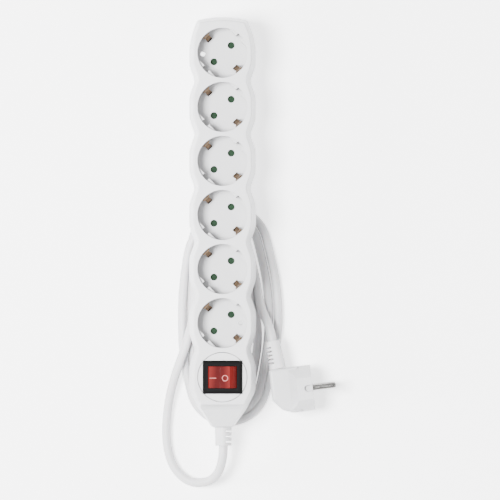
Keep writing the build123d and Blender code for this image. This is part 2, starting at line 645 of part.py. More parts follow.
def screws(places, head_z, direction, head_r, head_t, shank_r, shank_l, name):
    """Identical screws as separate solids of one node."""
    with BuildPart() as group:
        with BuildSketch(Plane.XY.offset(head_z)):
            with Locations(*places):
                Circle(head_r)
        extrude(amount=direction * head_t)
        with BuildSketch(Plane.XY.offset(head_z + direction * head_t)):
            with Locations(*places):
                Circle(shank_r)
        extrude(amount=direction * shank_l)
        with BuildSketch(Plane.XY.offset(head_z)):
            with Locations(*places):
                Rectangle(head_r * 1.5, SCREW_SLOT_W)
                Rectangle(SCREW_SLOT_W, head_r * 1.5)
        extrude(amount=direction * head_t * 0.6, mode=Mode.SUBTRACT)
    save(group, name)


screws(CASE_SCREWS, Z_BASE + 0.6, 1, SCREW_HEAD_R, SCREW_HEAD_DEPTH - 0.6, SCREW_SHANK_R, 20, "case_screws")
screws([(-CLAMP_SCREW_X, CLAMP_Y), (CLAMP_SCREW_X, CLAMP_Y)], CLAMP_BAR_Z + 5, -1, 2.4, 2, 1.15, 10, "clamp_screws")

RELIEF_TAPER = 0.5
RELIEF_SLOTS = 3
RELIEF_SLOT_PITCH = 4.2
RELIEF_SLOT_FIRST = 2.4
RELIEF_SLOT_X = 5.0
RELIEF_SLOT = (6.0, 20.0)
RELIEF_SLOT_T = 1.5

with BuildPart() as strain_relief:
    with BuildSketch(Plane.XZ.offset(-RELIEF_IN_Y)):
        with Locations((RELIEF_X, RELIEF_Z)):
            Circle(RELIEF_R)
    with BuildSketch(Plane.XZ.offset(-RELIEF_OUT_Y)):
        with Locations((RELIEF_X, RELIEF_Z)):
            Circle(RELIEF_R - RELIEF_TAPER)
    loft()
    for step in range(RELIEF_SLOTS):
        with BuildSketch(Plane.XZ.offset(HALF_LENGTH + RELIEF_SLOT_FIRST + RELIEF_SLOT_PITCH * step)):
            with Locations((RELIEF_X + RELIEF_SLOT_X, RELIEF_Z)):
                Rectangle(*RELIEF_SLOT)
        extrude(amount=RELIEF_SLOT_T, mode=Mode.SUBTRACT)
save(strain_relief, "strain_relief")

# ---------------------------------------------------------------- plug
PLUG_TURN = 7.0
PLUG_FACE = (72.4, -132.6)
PLUG_R = 18.5
PLUG_FLAT = 16.2              # flats carrying the guide grooves
GRIP_HALF = 9.3
PLUG_Z = Z_SURFACE + PLUG_R
PLUG = Plane.XY.move(Location((PLUG_FACE[0], PLUG_FACE[1], PLUG_Z), (0, 0, PLUG_TURN)))
PLUG_SIDE = Plane(origin=PLUG.origin, x_dir=PLUG.x_dir, z_dir=-PLUG.y_dir)
PLUG_END = Plane(origin=PLUG.origin, x_dir=PLUG.y_dir, z_dir=PLUG.x_dir)
NOSE_BACK = -18.0
FLAT_BACK = -12.4
BOOT_BASE = (-25.9, 18.4)
BOOT_TOP = (-27.5, 41.0)
BOOT_LENGTH = math.hypot(BOOT_TOP[0] - BOOT_BASE[0], BOOT_TOP[1] - BOOT_BASE[1])
BOOT_AXIS = (Vector(*BOOT_TOP) - Vector(*BOOT_BASE)).normalized()
EARTH_HOLE_Y = -10.0
EARTH_HOLE_R = 3.0
PIN_ROOT_R = 2.0
PLUG_HOLE_DEPTH = 14.0
CLIP_POCKET_W = 7.0
CLIP_POCKET_D = 1.8
CLIP_POCKET_L = 14.0
GROOVE = (10.0, 5.2)          # guide groove's slot, length by width
GROOVE_X = -1.7
GROOVE_DEPTH = 2.6
BOOT_BASE_SIZE = (13.6, 12.4)
BOOT_TOP_SIZE = (11.4, 10.8)
BOOT_CORNER_R = 4.5
BOOT_SLOTS = 5
BOOT_SLOT_FIRST = 4.6
BOOT_SLOT_PITCH = 3.1
BOOT_SLOT_T = 1.3
BOOT_SLOT_X = -5.6
BOOT_SLOT = (7.0, 20.0)
PIN_TIP_R = 1.8
PLUG_CLIP_T = 0.6
PLUG_CLIP_HALF_W = 2.6
EARTH_SOCKET_T = 0.5
EARTH_SOCKET_L = 13.5

with BuildPart() as plug_body:
    with BuildSketch(PLUG):
        with BuildLine():
            FilletPolyline(
                (-10, 18.2), (-33.4, 18.2), (-33.4, -6.6), (-26.4, -15.0), (-18.0, -18.2), (-10, -18.2),
                radius=[2.5, 3, 8, 8], close=False,
            )
            Line((-10, -18.2), (-10, 18.2))
        make_face()
    extrude(amount=GRIP_HALF, both=True)
    grip_rims = plug_body.edges().group_by(Axis.Z)
    fillet(grip_rims[0] + grip_rims[-1], radius=2.5)
    with BuildSketch(PLUG_END.offset(NOSE_BACK)):
        Circle(PLUG_R)
    extrude(amount=-NOSE_BACK)
    with BuildSketch(PLUG_SIDE):
        for side in (-1, 1):
            with BuildLine():
                Polyline(
                    (1, side * PLUG_FLAT), (FLAT_BACK, side * PLUG_FLAT), (NOSE_BACK - 0.4, side * GRIP_HALF),
                    (NOSE_BACK - 0.4, side * 25), (1, side * 25), close=True,
                )
            make_face()
    extrude(amount=25, both=True, mode=Mode.SUBTRACT)
    for side in (-1, 1):
        with BuildSketch(PLUG.offset(side * PLUG_FLAT)):
            with Locations((GROOVE_X, 0)):
                SlotOverall(*GROOVE)
        extrude(amount=-side * GROOVE_DEPTH, mode=Mode.SUBTRACT)
    with BuildSketch(PLUG):
        for side in (-1, 1):
            with Locations((-6.5, side * (PLUG_R - CLIP_POCKET_D / 2))):
                Rectangle(CLIP_POCKET_L, CLIP_POCKET_D + 0.02)
    extrude(amount=CLIP_POCKET_W / 2, both=True, mode=Mode.SUBTRACT)
    with BuildSketch(PLUG_END):
        with Locations((EARTH_HOLE_Y, 0)):
            Circle(EARTH_HOLE_R)
        with Locations((0, PIN_SPACING / 2), (0, -PIN_SPACING / 2)):
            Circle(PIN_ROOT_R)
    extrude(amount=-PLUG_HOLE_DEPTH, mode=Mode.SUBTRACT)
save(plug_body, "plug_body")

BOOT_PLANE = Plane(
    origin=PLUG.from_local_coords(Vector(*BOOT_BASE, 0)),
    x_dir=PLUG.from_local_coords(Vector(BOOT_AXIS.Y, -BOOT_AXIS.X, 0)) - PLUG.origin,
    z_dir=PLUG.from_local_coords(BOOT_AXIS) - PLUG.origin,
)
with BuildPart() as plug_boot:
    with BuildSketch(BOOT_PLANE):
        RectangleRounded(*BOOT_BASE_SIZE, BOOT_CORNER_R)
    with BuildSketch(BOOT_PLANE.offset(BOOT_LENGTH)):
        RectangleRounded(*BOOT_TOP_SIZE, BOOT_CORNER_R)
    loft()
    for step in range(BOOT_SLOTS):
        with BuildSketch(BOOT_PLANE.offset(BOOT_SLOT_FIRST + BOOT_SLOT_PITCH * step)):
            with Locations((BOOT_SLOT_X, 0)):
                Rectangle(*BOOT_SLOT)
        extrude(amount=BOOT_SLOT_T, mode=Mode.SUBTRACT)
save(plug_boot, "plug_boot")

for name, side in (("plug_pin_live", 1), ("plug_pin_neutral", -1)):
    with BuildPart() as plug_pin:
        with BuildSketch(PLUG_END):
            with Locations((0, side * PIN_SPACING / 2)):
                Circle(PIN_R)
        extrude(amount=PIN_LENGTH)
        tip = plug_pin.edges().filter_by(GeomType.CIRCLE).sort_by(Axis.X)[-1]
        fillet(tip, radius=PIN_TIP_R)
        with BuildSketch(PLUG_END):
            with Locations((0, side * PIN_SPACING / 2)):
                Circle(PIN_ROOT_R)
        extrude(amount=-PLUG_HOLE_DEPTH)
    save(plug_pin, name)

with BuildPart() as plug_earth_clips:
    with BuildSketch(PLUG):
        for side in (-1, 1):
            with BuildLine():
                Polyline(
                    (-0.6, side * (PLUG_R - 1.35)), (-3.5, side * (PLUG_R - 0.5)),
                    (-10, side * (PLUG_R - 0.9)), (-13, side * (PLUG_R - 1.35)),
                )
            trace(line_width=PLUG_CLIP_T)
    extrude(amount=PLUG_CLIP_HALF_W, both=True)
save(plug_earth_clips, "plug_earth_clips")

with BuildPart() as plug_earth_socket:
    with BuildSketch(PLUG_END.offset(-PLUG_HOLE_DEPTH)):
        with Locations((EARTH_HOLE_Y, 0)):
            Circle(EARTH_HOLE_R)
            Circle(EARTH_HOLE_R - EARTH_SOCKET_T, mode=Mode.SUBTRACT)
    extrude(amount=EARTH_SOCKET_L)
save(plug_earth_socket, "plug_earth_socket")

# ---------------------------------------------------------------- free cord
# The lead leaves the relief, makes one open loop and passes under the housing
# into the hank, and comes out again beside the housing to the plug's boot.
LOOP_ROUTE = [
    (RELIEF_X, RELIEF_OUT_Y, RELIEF_Z),
    (RELIEF_X, RELIEF_OUT_Y - 14.0, RELIEF_Z),
    (-8.0, -209.0, Z_SURFACE + 15.0),
    (-27.5, -210.5, Z_SURFACE + 7.0),
    (-41.5, -196.5, LAYER_LOW),
    (-46.2, -174.0, LAYER_LOW),
    (-44.5, -148.0, LAYER_LOW + 1.6),
    (-39.0, -124.0, LAYER_HIGH),
    (-31.0, -103.0, LAYER_HIGH + 0.1),
]
BOOT_MOUTH = BOOT_PLANE.offset(BOOT_LENGTH).origin
BOOT_LEAD = BOOT_PLANE.offset(BOOT_LENGTH + 11.0).origin
TAIL_ROUTE = [
    (27.4, -48.0, LAYER_HIGH),
    (29.0, -60.5, LAYER_HIGH + 0.2),
    (32.2, -73.0, LAYER_HIGH + 2.6),
    (BOOT_LEAD.X, BOOT_LEAD.Y, BOOT_LEAD.Z),
    (BOOT_MOUTH.X, BOOT_MOUTH.Y, BOOT_MOUTH.Z),
]
BEND_SHARE = 0.45


def cord_tube(name, route):
    """Round cord along straight runs joined by arcs as large as the runs allow."""
    corners = [Vector(*point) for point in route]
    radii = []
    for before, at, after in zip(corners, corners[1:], corners[2:]):
        turn = math.radians((at - before).get_angle(after - at))
        shorter = min((at - before).length, (after - at).length)
        radii.append(BEND_SHARE * shorter / math.tan(turn / 2))
    with BuildPart() as tube:
        with BuildLine() as path:
            FilletPolyline(*route, radius=radii)
        with BuildSketch(Plane(origin=path.line @ 0, z_dir=path.line % 0)):
            Circle(CORD_R)
        sweep()
    length = sum(edge.length for edge in path.edges())
    ratio = tube.part.volume / (math.pi * CORD_R**2 * length)
    print(name, "length", round(length, 1), "volume ratio", round(ratio, 4))
    print(name, "radii", [round(r, 1) for r in radii])
    save(tube, name)


cord_tube("cord_loop", LOOP_ROUTE)
cord_tube("cord_tail", TAIL_ROUTE)

# ---------------------------------------------------------------- hank under the housing
HANK_OUTER = [
    (5.5, 14.5), (27.5, 6.5), (39.5, -16.5), (47.3, -55.0), (47.6, -86.0), (44.0, -115.0),
    (37.5, -140.0), (24.5, -158.5), (4.5, -164.6), (-13.5, -158.0), (-27.0, -141.0),
    (-33.5, -118.0), (-36.3, -95.0), (-36.2, -60.0), (-34.0, -36.0), (-26.5, -9.0), (-14.5, 8.0),
]
UPPER_INSET = 1.6 * CORD_D
HANK_EYE = ((5.5, -73.0), (158.0, 40.0))    # centre, and length by width


def hank_edge(inset):
    """The hank's outline, its points moved inwards by inset."""
    earlier = HANK_OUTER[-1:] + HANK_OUTER[:-1]
    later = HANK_OUTER[1:] + HANK_OUTER[:1]
    moved = []
    for before, at, after in zip(earlier, HANK_OUTER, later):
        along = (Vector(*after) - Vector(*before)).normalized()
        moved.append(Vector(*at) + Vector(along.Y, -along.X) * inset)
    return moved


with BuildPart() as cord_hank:
    for layer in range(2):
        with BuildSketch(Plane.XY.offset(Z_SURFACE + CORD_D * layer)):
            with BuildLine():
                Spline(*hank_edge(UPPER_INSET * layer), periodic=True)
            make_face()
            with Locations(HANK_EYE[0]):
                SlotOverall(HANK_EYE[1][0], HANK_EYE[1][1], rotation=90, mode=Mode.SUBTRACT)
        extrude(amount=CORD_D)
save(cord_hank, "cord_hank")
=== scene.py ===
"""Six-way switched power strip with a folded lead and an angled plug: looks."""

import math

import bmesh
import bpy
from bpy.props import FloatProperty, FloatVectorProperty, IntProperty, PointerProperty
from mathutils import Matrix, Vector
from mathutils.bvhtree import BVHTree


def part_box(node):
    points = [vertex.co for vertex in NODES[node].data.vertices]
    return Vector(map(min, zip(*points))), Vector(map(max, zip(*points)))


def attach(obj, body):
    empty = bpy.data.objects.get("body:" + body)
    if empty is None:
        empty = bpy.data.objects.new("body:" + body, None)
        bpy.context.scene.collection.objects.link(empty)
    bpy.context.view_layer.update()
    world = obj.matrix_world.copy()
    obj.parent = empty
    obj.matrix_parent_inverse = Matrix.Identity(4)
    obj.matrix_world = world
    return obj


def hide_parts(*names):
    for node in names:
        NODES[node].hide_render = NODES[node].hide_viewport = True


bl_info = {
    "name": "Power Strip",
    "version": (1, 0, 0),
    "blender": (4, 5, 0),
    "location": "View3D > Sidebar > Power Strip",
    "description": "Finishes, lead and small details of a switched power strip",
    "category": "Object",
}

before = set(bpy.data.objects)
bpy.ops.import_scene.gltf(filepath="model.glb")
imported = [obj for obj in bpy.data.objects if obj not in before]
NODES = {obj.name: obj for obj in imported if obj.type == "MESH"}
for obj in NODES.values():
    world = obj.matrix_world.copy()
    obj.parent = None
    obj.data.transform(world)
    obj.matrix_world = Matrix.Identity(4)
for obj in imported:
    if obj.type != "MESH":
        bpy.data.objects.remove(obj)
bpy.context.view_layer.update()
MM = 0.001

FACE_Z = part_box("top_cover")[1].z            # the socket face
SURFACE_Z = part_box("cord_hank")[0].z         # what the hank lies on

# Places of the two marks on the rocker, in metres.
MARK_Y = -0.1243
MARK_DASH_X = -0.0104
MARK_RING_X = 0.0021
DASH_STEPS = 12
RING_STEPS = 48
PROBE_HEIGHT = 0.05                          # where rays on to the part start, above its face
WELD_DISTANCE = 0.000001

# Name, setting with its power, place and side of each light, in metres.
LIGHTS = (
    ("key_light", "key_power", (-2.2, -0.35, 0.8), 0.6),
    ("top_light", "top_power", (-0.9, 0.0, 2.3), 0.8),
    ("fill_light", "fill_power", (1.8, -0.6, 1.1), 1.4),
)
LIGHT_AIM = Vector((0, -0.02, 0))
SKY_STOPS = ((0.15, 0.04), (0.45, 1.0), (0.86, 1.0), (0.97, 0.15))
SENSOR_WIDTH = 36.0
CAMERA_REACH = 20.0
FLOOR_CELLS = 24
FLOOR_GAP = 0.0002

# How finely the lead's curve is divided.
SPLINE_ORDER = 3
SPLINE_STEPS = 10
ROUND_STEPS = 6

# Second colours of finishes, and colours of the inner cores.
WORN_BLACK = (0.02, 0.02, 0.021)
WORN_RED = (0.22, 0.02, 0.016)
RUBBED_GREEN = (0.02, 0.055, 0.024)
LAMP_DEEP = (0.75, 0.30, 0.16)
LAMP_PALE = (0.90, 0.52, 0.34)
CORE_BROWN = (0.16, 0.055, 0.022)
CORE_BLUE = (0.02, 0.10, 0.42)
CORE_GREEN = (0.05, 0.30, 0.05)
CORE_YELLOW = (0.75, 0.62, 0.03)


# ---------------------------------------------------------------- settings
def colour(name, description, default):
    """A colour setting."""
    return FloatVectorProperty(
        name=name, description=description, subtype="COLOR", size=3, min=0.0, max=1.0, default=default
    )


def length(name, description, default):
    """A length setting, in metres."""
    return FloatProperty(name=name, description=description, unit="LENGTH", min=0.0, default=default)


class StageSettings(bpy.types.PropertyGroup):
    """Camera, floor and lights."""

    middle: FloatVectorProperty(
        name="View middle", description="Point in the middle of the picture",
        subtype="XYZ", unit="LENGTH", size=2, default=(0.0220, -0.0221),
    )
    view_width: length("View width", "Width of what the camera sees", 0.399)
    camera_height: length("Camera height", "Camera above the socket face", 4.0)
    floor_size: length("Floor size", "Side of the square floor", 6.0)
    floor_colour: colour("Floor colour", "Colour of the floor", (0.97, 0.97, 0.975))
    key_power: FloatProperty(name="Key light", description="Light from the left", unit="POWER", default=60.0)
    top_power: FloatProperty(name="Top light", description="Light from above", unit="POWER", default=235.0)
    fill_power: FloatProperty(name="Fill light", description="Light from the right", unit="POWER", default=16.0)
    sky: FloatProperty(name="Sky", description="Even light from all round", default=1.25, min=0.0)


class LeadSettings(bpy.types.PropertyGroup):
    """The mains lead."""

    diameter: length("Diameter", "Outer diameter of the lead", 0.0072)
    full_length: length("Length", "Length from the strain relief to the plug", 1.49)
    turn_points: IntProperty(name="Fold points", description="Route points in each half turn", default=7, min=5)


class FinishSettings(bpy.types.PropertyGroup):
    """Colours of the finishes."""

    housing: colour("Housing", "Moulded housing", (0.57, 0.57, 0.58))
    plug: colour("Plug", "Moulded plug", (0.54, 0.54, 0.55))
    soft: colour("Soft parts", "Strain relief and boot", (0.56, 0.555, 0.565))
    lead: colour("Lead", "Sheath of the lead", (0.54, 0.535, 0.545))
    shutter: colour("Shutters", "Child-safety shutters", (0.005, 0.020, 0.008))
    brass: colour("Brass", "Contact metal", (0.13, 0.08, 0.04))
    tarnish: colour("Tarnish", "Darkened contact metal", (0.03, 0.016, 0.01))
    pins: colour("Pins", "Nickel-plated pins", (0.27, 0.266, 0.262))
    steel: colour("Screws", "Zinc-plated steel", (0.50, 0.50, 0.49))
    bezel: colour("Bezel", "Switch housing", (0.001, 0.001, 0.0011))
    rocker: colour("Rocker", "Translucent switch rocker", (0.055, 0.0008, 0.0010))
    marks: colour("Marks", "On and off marks on the rocker", (0.36, 0.11, 0.10))


class MarkSettings(bpy.types.PropertyGroup):
    """The two marks on the rocker."""

    line_width: length("Line width", "Stroke of both marks", 0.0006)
    dash_length: length("Dash length", "Length of the on mark", 0.0055)
    ring_radius: length("Ring radius", "Middle radius of the off mark", 0.0022)
    stand: length("Height", "How far the marks stand proud", 0.00006)


# ---------------------------------------------------------------- shader maths
class Value:
    """A node socket that takes part in Python expressions."""

    def __init__(self, tree, socket):
        self.tree = tree
        self.socket = socket

    def maths(self, operation, first, second=None):
        """The output of one Math node."""
        node = self.tree.nodes.new("ShaderNodeMath")
        node.operation = operation
        for place, term in zip(node.inputs, (first, second)):
            if isinstance(term, Value):
                self.tree.links.new(term.socket, place)
            elif term is not None:
                place.default_value = term
        return Value(self.tree, node.outputs[0])

    def __add__(self, other):
        return self.maths("ADD", self, other)

    def __sub__(self, other):
        return self.maths("SUBTRACT", self, other)

    def __rsub__(self, other):
        return self.maths("SUBTRACT", other, self)

    def __mul__(self, other):
        return self.maths("MULTIPLY", self, other)

    __radd__ = __add__
    __rmul__ = __mul__

    def clamped(self):
        """The value held between 0 and 1."""
        return self.maths("MINIMUM", self.maths("MAXIMUM", self, 0.0), 1.0)


class Nodes:
    """A node tree, and the one way to add a node to it."""

    def __init__(self, tree):
        self.tree = tree

    def node(self, kind, settings=None, output=0, **inputs):
        """Add one node: its settings first, then its sockets' values or links."""
        node = self.tree.nodes.new(f"ShaderNode{kind}")
        for setting, value in (settings or {}).items():
            if setting == "stops":
                self.set_stops(node.color_ramp, value)
            else:
                setattr(node, setting, value)
        for socket, value in inputs.items():
            place = node.inputs[int(socket[1:]) if socket[1:].isdigit() else socket.replace("_", " ")]
            if isinstance(value, Value):
                self.tree.links.new(value.socket, place)
            else:
                place.default_value = value
        return Value(self.tree, node.outputs[output])

    @staticmethod
    def set_stops(ramp, stops):
        """Give a ramp its stops, as (place, grey level) pairs."""
        while len(ramp.elements) < len(stops):
            ramp.elements.new(0.5)
        for element, (place, level) in zip(ramp.elements, stops):
            element.position = place
            element.color = (level, level, level, 1)


class Finish(Nodes):
    """A material built on one Principled shader."""

    def __init__(self, name, **constants):
        self.material = bpy.data.materials.new(name)
        self.material.use_nodes = True
        super().__init__(self.material.node_tree)
        self.shader = self.tree.nodes["Principled BSDF"]
        for socket, value in constants.items():
            self.shader.inputs[socket.replace("_", " ")].default_value = value

    def place(self):
        """Position on the part, in metres."""
        return self.node("TexCoord", output=3)

    def noise(self, scale, detail=3.0, roughness=0.55, at=None):
        """Smooth noise from 0 to 1; scale is in patches to the metre."""
        return self.node(
            "TexNoise", Scale=scale, Detail=detail, Roughness=roughness, Vector=at or self.place()
        )

    def ramp(self, value, *stops):
        """Remap a value through stops of (place, grey level)."""
        return self.node("ValToRGB", {"stops": stops}, Fac=value)

    def mix(self, factor, first, second):
        """Mix two colours by a factor."""
        return self.node("Mix", {"data_type": "RGBA"}, 2, _0=factor, _6=rgba(first), _7=rgba(second))

    def edges(self, low, high):
        """1 on sharp outer edges, 0 elsewhere."""
        return self.ramp(self.node("NewGeometry", output=7), (low, 0.0), (high, 1.0))

    def crevices(self, reach):
        """1 in tight corners, 0 in the open."""
        return 1.0 - self.node("AmbientOcclusion", {"samples": 8}, 1, Distance=reach)

    def feed(self, **links):
        """Link values into the shader."""
        for socket, value in links.items():
            self.tree.links.new(value.socket, self.shader.inputs[socket.replace("_", " ")])

    def relief(self, height, distance, strength=1.0, rounding=0.0):
        """Feed a bump into the shader's normal, over softly rounded edges."""
        inputs = {"Height": height, "Distance": distance, "Strength": strength}
        if rounding:
            inputs["Normal"] = self.node("Bevel", {"samples": 4}, Radius=rounding)
        self.feed(Normal=self.node("Bump", **inputs))


def rgba(value):
    """A colour as four numbers, or a link as it is."""
    return value if isinstance(value, Value) else (*value, 1.0)


def shade(value, amount):
    """A colour made darker or lighter by a factor."""
    return tuple(min(channel * amount, 1.0) for channel in value)


# ---------------------------------------------------------------- finishes
def moulded(name, tint, rough, grain, rounding, crevice_shade_and_dust=0.35):
    """Hard moulded plastic: faint mottling, scuffs, a fine skin, and dust with painted shade in its corners."""
    finish = Finish(name, Specular_IOR_Level=0.45, IOR=1.49, Coat_Roughness=0.3)
    mottle = finish.noise(38, 4)
    scuffs = finish.ramp(finish.noise(900, 6, 0.7), (0.52, 0.0), (0.72, 1.0))
    # Painted shade and dust: ambient occlusion darkens the colour in corners and recesses, and roughens them.
    dust_and_crevice_shade = (finish.crevices(0.004) * crevice_shade_and_dust).clamped()
    worn = finish.edges(0.52, 0.60) * finish.ramp(finish.noise(220, 3), (0.40, 0.0), (0.65, 1.0))
    base = finish.mix(mottle, shade(tint, 0.965), shade(tint, 1.03))
    # The painted shade in corners and recesses is mixed into the colour here.
    base = finish.mix(dust_and_crevice_shade, base, shade((tint[0], tint[1] * 0.985, tint[2] * 0.95), 0.62))
    base = finish.mix(worn * 0.25, base, shade(tint, 1.12))
    finish.feed(Base_Color=base, Roughness=(rough + scuffs * 0.10 + dust_and_crevice_shade * 0.2 - worn * 0.06).clamped())
    finish.relief(finish.noise(grain, 2) + scuffs * 0.2, 0.00003, 0.35, rounding)
    return finish.material


def flexible(name, tint, rough, flow):
    """Soft moulded vinyl: a slightly waxy skin with flow lines and handling marks, and painted shade in its
    crevices.
    """
    finish = Finish(
        name, Specular_IOR_Level=0.4, Subsurface_Weight=0.06, Subsurface_Scale=0.002, IOR=1.5
    )
    stretched = finish.node("Mapping", Vector=finish.place(), Scale=(1.0, flow, 1.0))
    streaks = finish.noise(260, 4, 0.6, stretched)
    marks = finish.ramp(finish.noise(75, 5, 0.65), (0.55, 0.0), (0.78, 1.0))
    # Painted shade: ambient occlusion darkens the colour where strands touch and in creases.
    dust_and_crevice_shade = (finish.crevices(0.003) * 0.4).clamped()
    base = finish.mix(streaks, shade(tint, 0.95), shade(tint, 1.04))
    base = finish.mix(marks * 0.18, base, shade((tint[0], tint[1] * 0.98, tint[2] * 0.94), 0.78))
    base = finish.mix(dust_and_crevice_shade, base, shade(tint, 0.6))
    finish.feed(Base_Color=base, Roughness=(rough + marks * 0.12 + streaks * 0.06).clamped())
    finish.relief(finish.noise(3200, 2) + streaks * 0.6, 0.00003, 0.4, 0.0003)
    return finish.material


def contact_metal(name, tint, tarnish, rough):
    """Pressed contact metal, tarnished in patches and rubbed bright on its edges."""
    finish = Finish(name, Metallic=1.0)
    patches = finish.ramp(finish.noise(420, 6, 0.65), (0.36, 0.0), (0.62, 1.0))
    rubbed = finish.edges(0.50, 0.58)
    drawn = finish.noise(2600, 3, 0.6)
    base = finish.mix(patches, tint, tarnish)
    base = finish.mix((rubbed * 0.6).clamped(), base, shade(tint, 1.5))
    finish.feed(Base_Color=base, Roughness=(rough + patches * 0.25 - rubbed * 0.1).clamped())
    finish.relief(drawn + patches * 0.4, 0.00002, 0.4, 0.0001)
    return finish.material


def plated(name, tint, rough, along):
    """Plated metal with turned marks and insertion scratches along its length."""
    finish = Finish(name, Metallic=1.0, Specular_IOR_Level=0.5)
    stretched = finish.node("Mapping", Vector=finish.place(), Scale=along)
    scratches = finish.ramp(finish.noise(900, 5, 0.7, stretched), (0.48, 0.0), (0.66, 1.0))
    haze = finish.noise(160, 3)
    base = finish.mix(scratches * 0.5, tint, shade(tint, 0.55))
    base = finish.mix(haze * 0.35, base, shade((tint[0], tint[1] * 0.96, tint[2] * 0.88), 0.85))
    finish.feed(Base_Color=base, Roughness=(rough + scratches * 0.22 + haze * 0.08).clamped())
    finish.relief(scratches, 0.00002, 0.4, 0.00015)
    return finish.material


def satin_black(name, tint):
    """Glass-filled black plastic with a fine spark-eroded grain."""
    finish = Finish(name, Specular_IOR_Level=0.06, IOR=1.35)
    grain = finish.noise(5200, 2)
    dust_and_crevice_shade = finish.ramp(finish.noise(1400, 5, 0.7), (0.62, 0.0), (0.80, 1.0))
    worn = finish.edges(0.51, 0.58)
    base = finish.mix((dust_and_crevice_shade * 0.22 + worn * 0.3).clamped(), tint, WORN_BLACK)
    finish.feed(Base_Color=base, Roughness=(0.38 + grain * 0.16 + dust_and_crevice_shade * 0.1).clamped())
    finish.relief(grain, 0.00003, 0.5, 0.0002)
    return finish.material


def translucent_red(name, tint):
    """Translucent red moulding, satin, with smears and paler worn edges."""
    finish = Finish(name, IOR=1.4, Specular_IOR_Level=0.05, Transmission_Weight=0.1)
    depth = finish.noise(120, 3)
    smears = finish.ramp(finish.noise(700, 5, 0.65), (0.50, 0.0), (0.75, 1.0))
    worn = finish.edges(0.52, 0.60)
    base = finish.mix(depth, shade(tint, 0.72), shade(tint, 1.25))
    base = finish.mix(worn * 0.35, base, WORN_RED)
    finish.feed(Base_Color=base, Roughness=(0.36 + smears * 0.16).clamped())
    finish.relief(finish.noise(1500, 2) + smears * 0.3, 0.00003, 0.3, 0.0003)
    return finish.material


def printed(name, tint):
    """Hot-stamped paint, thin and a little uneven."""
    finish = Finish(name, Specular_IOR_Level=0.3)
    thin = finish.ramp(finish.noise(3000, 4, 0.65), (0.45, 0.0), (0.75, 1.0))
    finish.feed(
        Base_Color=finish.mix(thin * 0.35, tint, shade(tint, 0.6)), Roughness=(0.4 + thin * 0.2).clamped()
    )
    finish.relief(thin, 0.00001, 0.3)
    return finish.material


def core(name, tint, band=None):
    """Insulation of an inner core, with a second colour in bands where it has one."""
    finish = Finish(name, Specular_IOR_Level=0.4)
    cloud = finish.noise(300, 3)
    base = finish.mix(cloud, shade(tint, 0.88), shade(tint, 1.08))
    if band:
        stripe = finish.node("TexWave", {"wave_type": "BANDS", "bands_direction": "DIAGONAL"}, 1,
                             Vector=finish.place(), Scale=110.0, Distortion=0.6)
        base = finish.mix(finish.ramp(stripe, (0.45, 0.0), (0.55, 1.0)), base, band)
    finish.feed(Base_Color=base, Roughness=(0.4 + cloud * 0.15).clamped())
    finish.relief(cloud, 0.00003, 0.4)
    return finish.material


def shutter_plastic(name, tint):
    """Dark green moulding, dusty where the pins rub it."""
    finish = Finish(name, Specular_IOR_Level=0.08)
    rubbed = finish.ramp(finish.noise(800, 5, 0.65), (0.45, 0.0), (0.70, 1.0))
    base = finish.mix(rubbed * 0.5, tint, RUBBED_GREEN)
    finish.feed(Base_Color=base, Roughness=(0.42 + rubbed * 0.2).clamped())
    finish.relief(rubbed, 0.00003, 0.4, 0.0002)
    return finish.material


def lamp_glass(name):
    """Small neon lamp: tinted glass with a warm core."""
    finish = Finish(name, IOR=1.5, Transmission_Weight=0.4, Emission_Strength=0.15)
    swirl = finish.noise(500, 3)
    base = finish.mix(swirl, LAMP_DEEP, LAMP_PALE)
    finish.feed(Base_Color=base, Emission_Color=base, Roughness=(0.08 + swirl * 0.1).clamped())
    return finish.material


def floor_paper(name, tint):
    """Pale seamless paper with a faint tooth, which gives off some light."""
    finish = Finish(name, Specular_IOR_Level=0.15, Emission_Strength=1.6, Emission_Color=(1, 1, 1, 1))
    tooth = finish.noise(700, 4)
    base = finish.mix(tooth, shade(tint, 0.995), shade(tint, 1.005))
    finish.feed(Base_Color=base, Roughness=(0.85 + tooth * 0.1).clamped())
    finish.relief(tooth, 0.00005, 0.1)
    return finish.material


# ---------------------------------------------------------------- making pieces
def add_piece(name, mesh, body, material):
    """Put a finished mesh in the scene, riding on a body."""
    piece = bpy.data.objects.new(name, mesh)
    bpy.context.scene.collection.objects.link(piece)
    piece.data.materials.append(material)
    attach(piece, body)
    return piece


def paint(material, *nodes):
    """Give carried-over nodes one material."""
    for node in nodes:
        mesh = NODES[node].data
        mesh.materials.clear()
        mesh.materials.append(material)


def material_named(name):
    """A finish that an earlier operator made."""
    material = bpy.data.materials.get(name)
    if material is None:
        raise RuntimeError(f"the finish {name} has to be made first")
    return material


def laid_on(node, name, rows, stand):
    """A mesh over a node's upper surface, from rows of (x, y) places."""
    tree = BVHTree.FromPolygons(
        [vertex.co for vertex in NODES[node].data.vertices],
        [tuple(face.vertices) for face in NODES[node].data.polygons],
    )
    grid = bmesh.new()
    lines = []
    for row in rows:
        line = []
        for x, y in row:
            above = Vector((x, y, FACE_Z + PROBE_HEIGHT))
            hit, normal, *_ = tree.ray_cast(above, Vector((0, 0, -1)))
            if hit is None:
                raise RuntimeError(f"{name} misses {node} at {x:.4f}, {y:.4f}")
            line.append(grid.verts.new(hit + normal * stand))
        lines.append(line)
    for line, after in zip(lines, lines[1:]):
        for i in range(len(line) - 1):
            grid.faces.new((line[i], line[i + 1], after[i + 1], after[i]))
    bmesh.ops.remove_doubles(grid, verts=grid.verts, dist=WELD_DISTANCE)
    bmesh.ops.recalc_face_normals(grid, faces=grid.faces)
    if sum(face.normal.z for face in grid.faces) < 0:
        bmesh.ops.reverse_faces(grid, faces=grid.faces)
    mesh = bpy.data.meshes.new(name)
    grid.to_mesh(mesh)
    grid.free()
    return mesh


